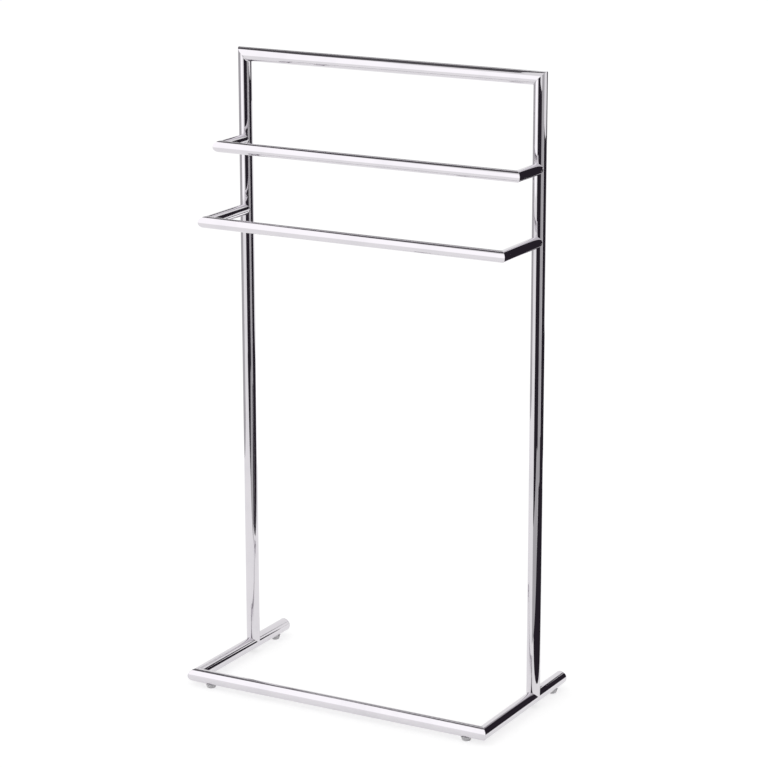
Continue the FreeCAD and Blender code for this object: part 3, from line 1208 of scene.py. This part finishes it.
@dataclass(frozen=True)
class Upright:
    """A board that stands round the stage and faces its middle."""

    name: str
    tone: Tone
    bearing: float  # degrees from the front towards the right
    distance: float
    width: float
    low: float
    high: float

    def pose(self) -> Pose:
        """Work out the board's pose.

        Returns:
            The pose.
        """
        angle = math.radians(self.bearing)
        middle = Vector((math.sin(angle) * self.distance, -math.cos(angle) * self.distance,
                         (self.low + self.high) / 2))
        return Pose(middle, (math.pi / 2, 0.0, angle), Vector((self.width, self.high - self.low, 1.0)))


@dataclass(frozen=True)
class Level:
    """A board that lies level, just over the floor or overhead."""

    name: str
    tone: Tone
    x: float
    y: float
    height: float
    width: float
    depth: float
    turn: float = 0.0  # degrees

    def pose(self) -> Pose:
        """Work out the board's pose."""
        return Pose(Vector((self.x, self.y, self.height)), (0.0, 0.0, math.radians(self.turn)),
                    Vector((self.width, self.depth, 1.0)))


# Boards of painted reflection: only the metal shows them, and none lights or shades the stand. BRIGHT boards
# paint highlights, BLACK, SHADE and GREY boards paint dark and grey bands, and the level ones just over the
# floor paint patches into the floor's reflection.
BOARDS = (
    Upright("key_highlight_panel", Tone.BRIGHT, -35, 2.4, 1.7, 0.2, 2.2),
    Upright("front_flag", Tone.BLACK, 15, 1.45, 0.9, 0.05, 0.7),
    Upright("front_right_flag", Tone.BLACK, 45, 1.4, 0.65, 0.0, 0.65),
    Upright("right_screen", Tone.GREY, 75, 1.25, 0.75, 0.0, 0.8),
    Upright("rear_right_flag", Tone.BLACK, 125, 1.0, 1.15, 0.0, 0.65),
    Upright("rear_flag", Tone.BLACK, 150, 1.15, 0.7, 0.6, 2.0),
    Upright("runner_flag", Tone.BLACK, 150, 0.45, 0.2, 0.25, 0.45),
    Upright("rear_left_flag", Tone.BLACK, -140, 2.0, 1.25, 1.4, 2.1),
    Upright("left_screen", Tone.GREY, -90, 1.05, 1.35, 0.05, 1.05),
    Level("right_rear_mat", Tone.BLACK, 0.95, 0.65, 0.001, 1.25, 1.95),
    Level("right_front_mat", Tone.GREY, 0.75, -0.75, 0.0015, 1.25, 0.85, -10),
    Level("front_mat", Tone.BLACK, 0.45, -1.35, 0.002, 0.95, 0.95, -15),
    Level("back_mat", Tone.BRIGHT, -0.25, 1.4, 0.0025, 0.95, 0.85, 10),
    Level("overhead_panel", Tone.BRIGHT, -0.75, -0.95, 1.35, 1.7, 1.55, -50),
    Level("overhead_flag", Tone.SHADE, -1.0, 0.3, 1.8, 1.55, 1.1, -5),
)


@dataclass
class Studio:
    """A white floor, a white world, soft light, and boards of painted reflection that only the metal shows."""

    boards: tuple[Upright | Level, ...] = BOARDS
    reflection_tint: Colour = (0.005, 0.0, 0.008)  # the faint violet painted into the boards' reflections in the metal
    floor_size: float = 30.0
    floor_glow: float = 0.58
    floor_tint: float = 0.62
    world_fill: float = 0.9

    def build(self) -> None:
        """Lay the floor, fill the world, hang the lamp and set up the boards."""
        self.lay_floor()
        self.fill_world()
        Lamp().build()
        for board in self.boards:
            self.set_up(board)

    def lay_floor(self) -> None:
        """Lay a wide pale floor that keeps the stand's shadow."""
        bpy.ops.object.select_all(action="DESELECT")
        bpy.ops.mesh.primitive_plane_add(size=self.floor_size)
        floor = bpy.context.active_object
        floor.name = "studio_floor"
        material, sheet = start_material(floor.name)
        tint = (self.floor_tint, self.floor_tint, self.floor_tint, 1.0)
        paper = sheet.add("ShaderNodeBsdfDiffuse", {"Color": tint}).outputs["BSDF"]
        glow = sheet.math("MULTIPLY", self.shown(sheet), self.floor_glow)
        light = sheet.add("ShaderNodeEmission", {"Strength": glow}).outputs["Emission"]
        sheet.put_out(sheet.add("ShaderNodeAddShader", {0: paper, 1: light}).outputs["Shader"])
        floor.data.materials.append(material)

    def shown(self, sheet: Sheet) -> Socket:
        """Tell what the camera sees, in the metal and through the rubber too, from what only gives light.

        Args:
            sheet: The sheet of the material or world.

        Returns:
            1 for what is seen and 0 for light.
        """
        path = sheet.add("ShaderNodeLightPath").outputs
        seen = sheet.math("MAXIMUM", path["Is Camera Ray"], path["Is Glossy Ray"])
        return sheet.math("MAXIMUM", seen, path["Is Transmission Ray"])

    def fill_world(self) -> None:
        """Fill the world with even white, a little dimmer as light than as background."""
        world = bpy.data.worlds.new("studio")
        world.use_nodes = True
        bpy.context.scene.world = world
        sheet = Sheet(world.node_tree)
        fill = sheet.add("ShaderNodeBackground", {"Strength": self.world_fill}).outputs["Background"]
        white = sheet.add("ShaderNodeBackground", {"Color": (1.0, 1.0, 1.0, 1.0)}).outputs["Background"]
        either = sheet.add("ShaderNodeMixShader", {"Fac": self.shown(sheet), 1: fill, 2: white})
        sheet.put_out(either.outputs["Shader"], "ShaderNodeOutputWorld")

    def set_up(self, board: Upright | Level) -> None:
        """Set up a board of painted reflection that only the metal shows, and that neither lights the stage nor
        shades it.

        Args:
            board: Where the board is and how bright its painted reflection is in the metal.
        """
        pose = board.pose()
        bpy.ops.object.select_all(action="DESELECT")
        bpy.ops.mesh.primitive_plane_add(size=1.0, location=pose.middle, rotation=pose.turn)
        panel = bpy.context.active_object
        panel.name = board.name
        panel.scale = pose.size
        settle(panel)
        for way in ("camera", "diffuse", "transmission", "shadow", "volume_scatter"):
            setattr(panel, f"visible_{way}", False)
        material, sheet = start_material(board.name)
        material.cycles.emission_sampling = "NONE"
        # The painted reflection's colour: the board's tone with the faint violet tint added.
        colour = (*(board.tone.value + share for share in self.reflection_tint), 1.0)
        sheet.put_out(sheet.add("ShaderNodeEmission", {"Color": colour}).outputs["Emission"])
        panel.data.materials.append(material)


def main() -> None:
    """Build the stand and its studio."""
    logging.basicConfig(level=logging.INFO, format="%(name)s: %(message)s")
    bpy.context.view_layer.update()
    bpy.context.scene.view_settings.view_transform = "Standard"
    layout = Layout()
    finishes = Finishes()
    Camera().build()
    Studio().build()
    Frame(layout, finishes).build()
    for rail in layout.rails:
        Rail(rail, layout, finishes).build()
    Base(layout, finishes).build()
    Feet(layout, finishes).build()
    Fasteners(finishes).build()


if __name__ == "__main__":
    main()
